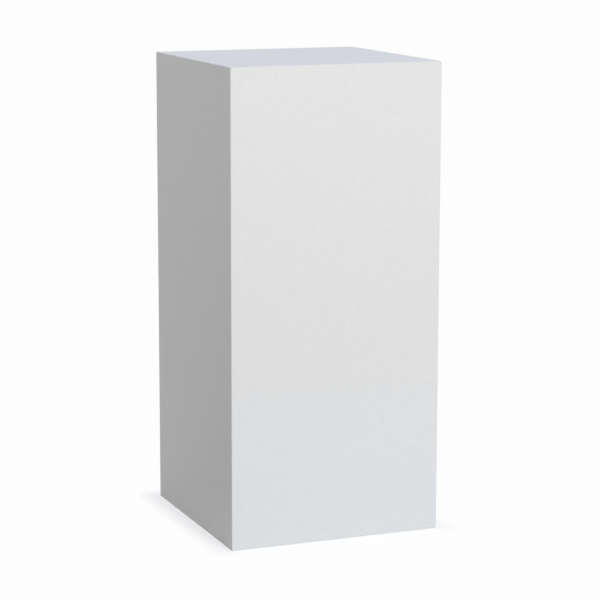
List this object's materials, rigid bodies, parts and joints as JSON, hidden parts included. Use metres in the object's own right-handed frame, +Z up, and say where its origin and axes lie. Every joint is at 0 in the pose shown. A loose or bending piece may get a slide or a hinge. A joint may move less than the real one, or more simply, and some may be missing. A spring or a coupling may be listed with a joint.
{
  "type": "display plinth",
  "caption": "Tall square display plinth of mitred, laminate-faced boards, closed on top and open underneath, with screw-adjusted levelling feet inside its base.",
  "frame": {"origin": "on the floor, in the middle of the plinth's square foot", "axes": "+Z up the plinth's height, -Y out of the front board, +X towards the right board"},
  "size_m": [0.3556, 0.3556, 0.762],
  "materials": {
    "white_laminate": "satin, finely pebbled",
    "fibreboard": "sawn and sanded fibreboard",
    "pine": "planed",
    "plywood": "sawn",
    "beech": "pressed",
    "zinc_plated_steel": "bright zinc plate",
    "black_nylon": "matte moulded"
  },
  "bodies": {
    "plinth": {"front_laminate": "white_laminate", "front_panel": "fibreboard", "back_laminate": "white_laminate", "back_panel": "fibreboard", "left_laminate": "white_laminate", "left_panel": "fibreboard", "right_laminate": "white_laminate", "right_panel": "fibreboard", "top_laminate": "white_laminate", "top_panel": "fibreboard", "top_batten_front": "pine", "top_batten_back": "pine", "top_batten_left": "pine", "top_batten_right": "pine", "corner_block_front_left": "plywood", "corner_block_front_right": "plywood", "corner_block_back_left": "plywood", "corner_block_back_right": "plywood", "corner_biscuits": "beech", "top_biscuits": "beech", "batten_brads": "zinc_plated_steel", "corner_block_brads": "zinc_plated_steel", "leveller_nuts": "zinc_plated_steel"},
    "pad_front_left": {"leveller_pad_front_left": "black_nylon"},
    "stem_front_left": {"leveller_stem_front_left": "zinc_plated_steel"},
    "pad_front_right": {"leveller_pad_front_right": "black_nylon"},
    "stem_front_right": {"leveller_stem_front_right": "zinc_plated_steel"},
    "pad_back_left": {"leveller_pad_back_left": "black_nylon"},
    "stem_back_left": {"leveller_stem_back_left": "zinc_plated_steel"},
    "pad_back_right": {"leveller_pad_back_right": "black_nylon"},
    "stem_back_right": {"leveller_stem_back_right": "zinc_plated_steel"}
  },
  "joints": [
    {"name": "foot_travel_front_left", "type": "slide", "parent": "plinth", "child": "pad_front_left", "axis": [0, 0, -1], "range_m": [0, 0.015]},
    {"name": "foot_turn_front_left", "type": "hinge", "parent": "pad_front_left", "child": "stem_front_left", "pos_m": [-0.131, -0.131, 0.03], "axis": [0, 0, -1], "range_deg": [0, 4320]},
    {"name": "foot_travel_front_right", "type": "slide", "parent": "plinth", "child": "pad_front_right", "axis": [0, 0, -1], "range_m": [0, 0.015]},
    {"name": "foot_turn_front_right", "type": "hinge", "parent": "pad_front_right", "child": "stem_front_right", "pos_m": [0.131, -0.131, 0.03], "axis": [0, 0, -1], "range_deg": [0, 4320]},
    {"name": "foot_travel_back_left", "type": "slide", "parent": "plinth", "child": "pad_back_left", "axis": [0, 0, -1], "range_m": [0, 0.015]},
    {"name": "foot_turn_back_left", "type": "hinge", "parent": "pad_back_left", "child": "stem_back_left", "pos_m": [-0.131, 0.131, 0.03], "axis": [0, 0, -1], "range_deg": [0, 4320]},
    {"name": "foot_travel_back_right", "type": "slide", "parent": "plinth", "child": "pad_back_right", "axis": [0, 0, -1], "range_m": [0, 0.015]},
    {"name": "foot_turn_back_right", "type": "hinge", "parent": "pad_back_right", "child": "stem_back_right", "pos_m": [0.131, 0.131, 0.03], "axis": [0, 0, -1], "range_deg": [0, 4320]}
  ],
  "couplings": [
    {"joint": "foot_travel_front_left", "follows": "foot_turn_front_left", "m_per_rad": 0.00019894},
    {"joint": "foot_travel_front_right", "follows": "foot_turn_front_right", "m_per_rad": 0.00019894},
    {"joint": "foot_travel_back_left", "follows": "foot_turn_back_left", "m_per_rad": 0.00019894},
    {"joint": "foot_travel_back_right", "follows": "foot_turn_back_right", "m_per_rad": 0.00019894}
  ]
}
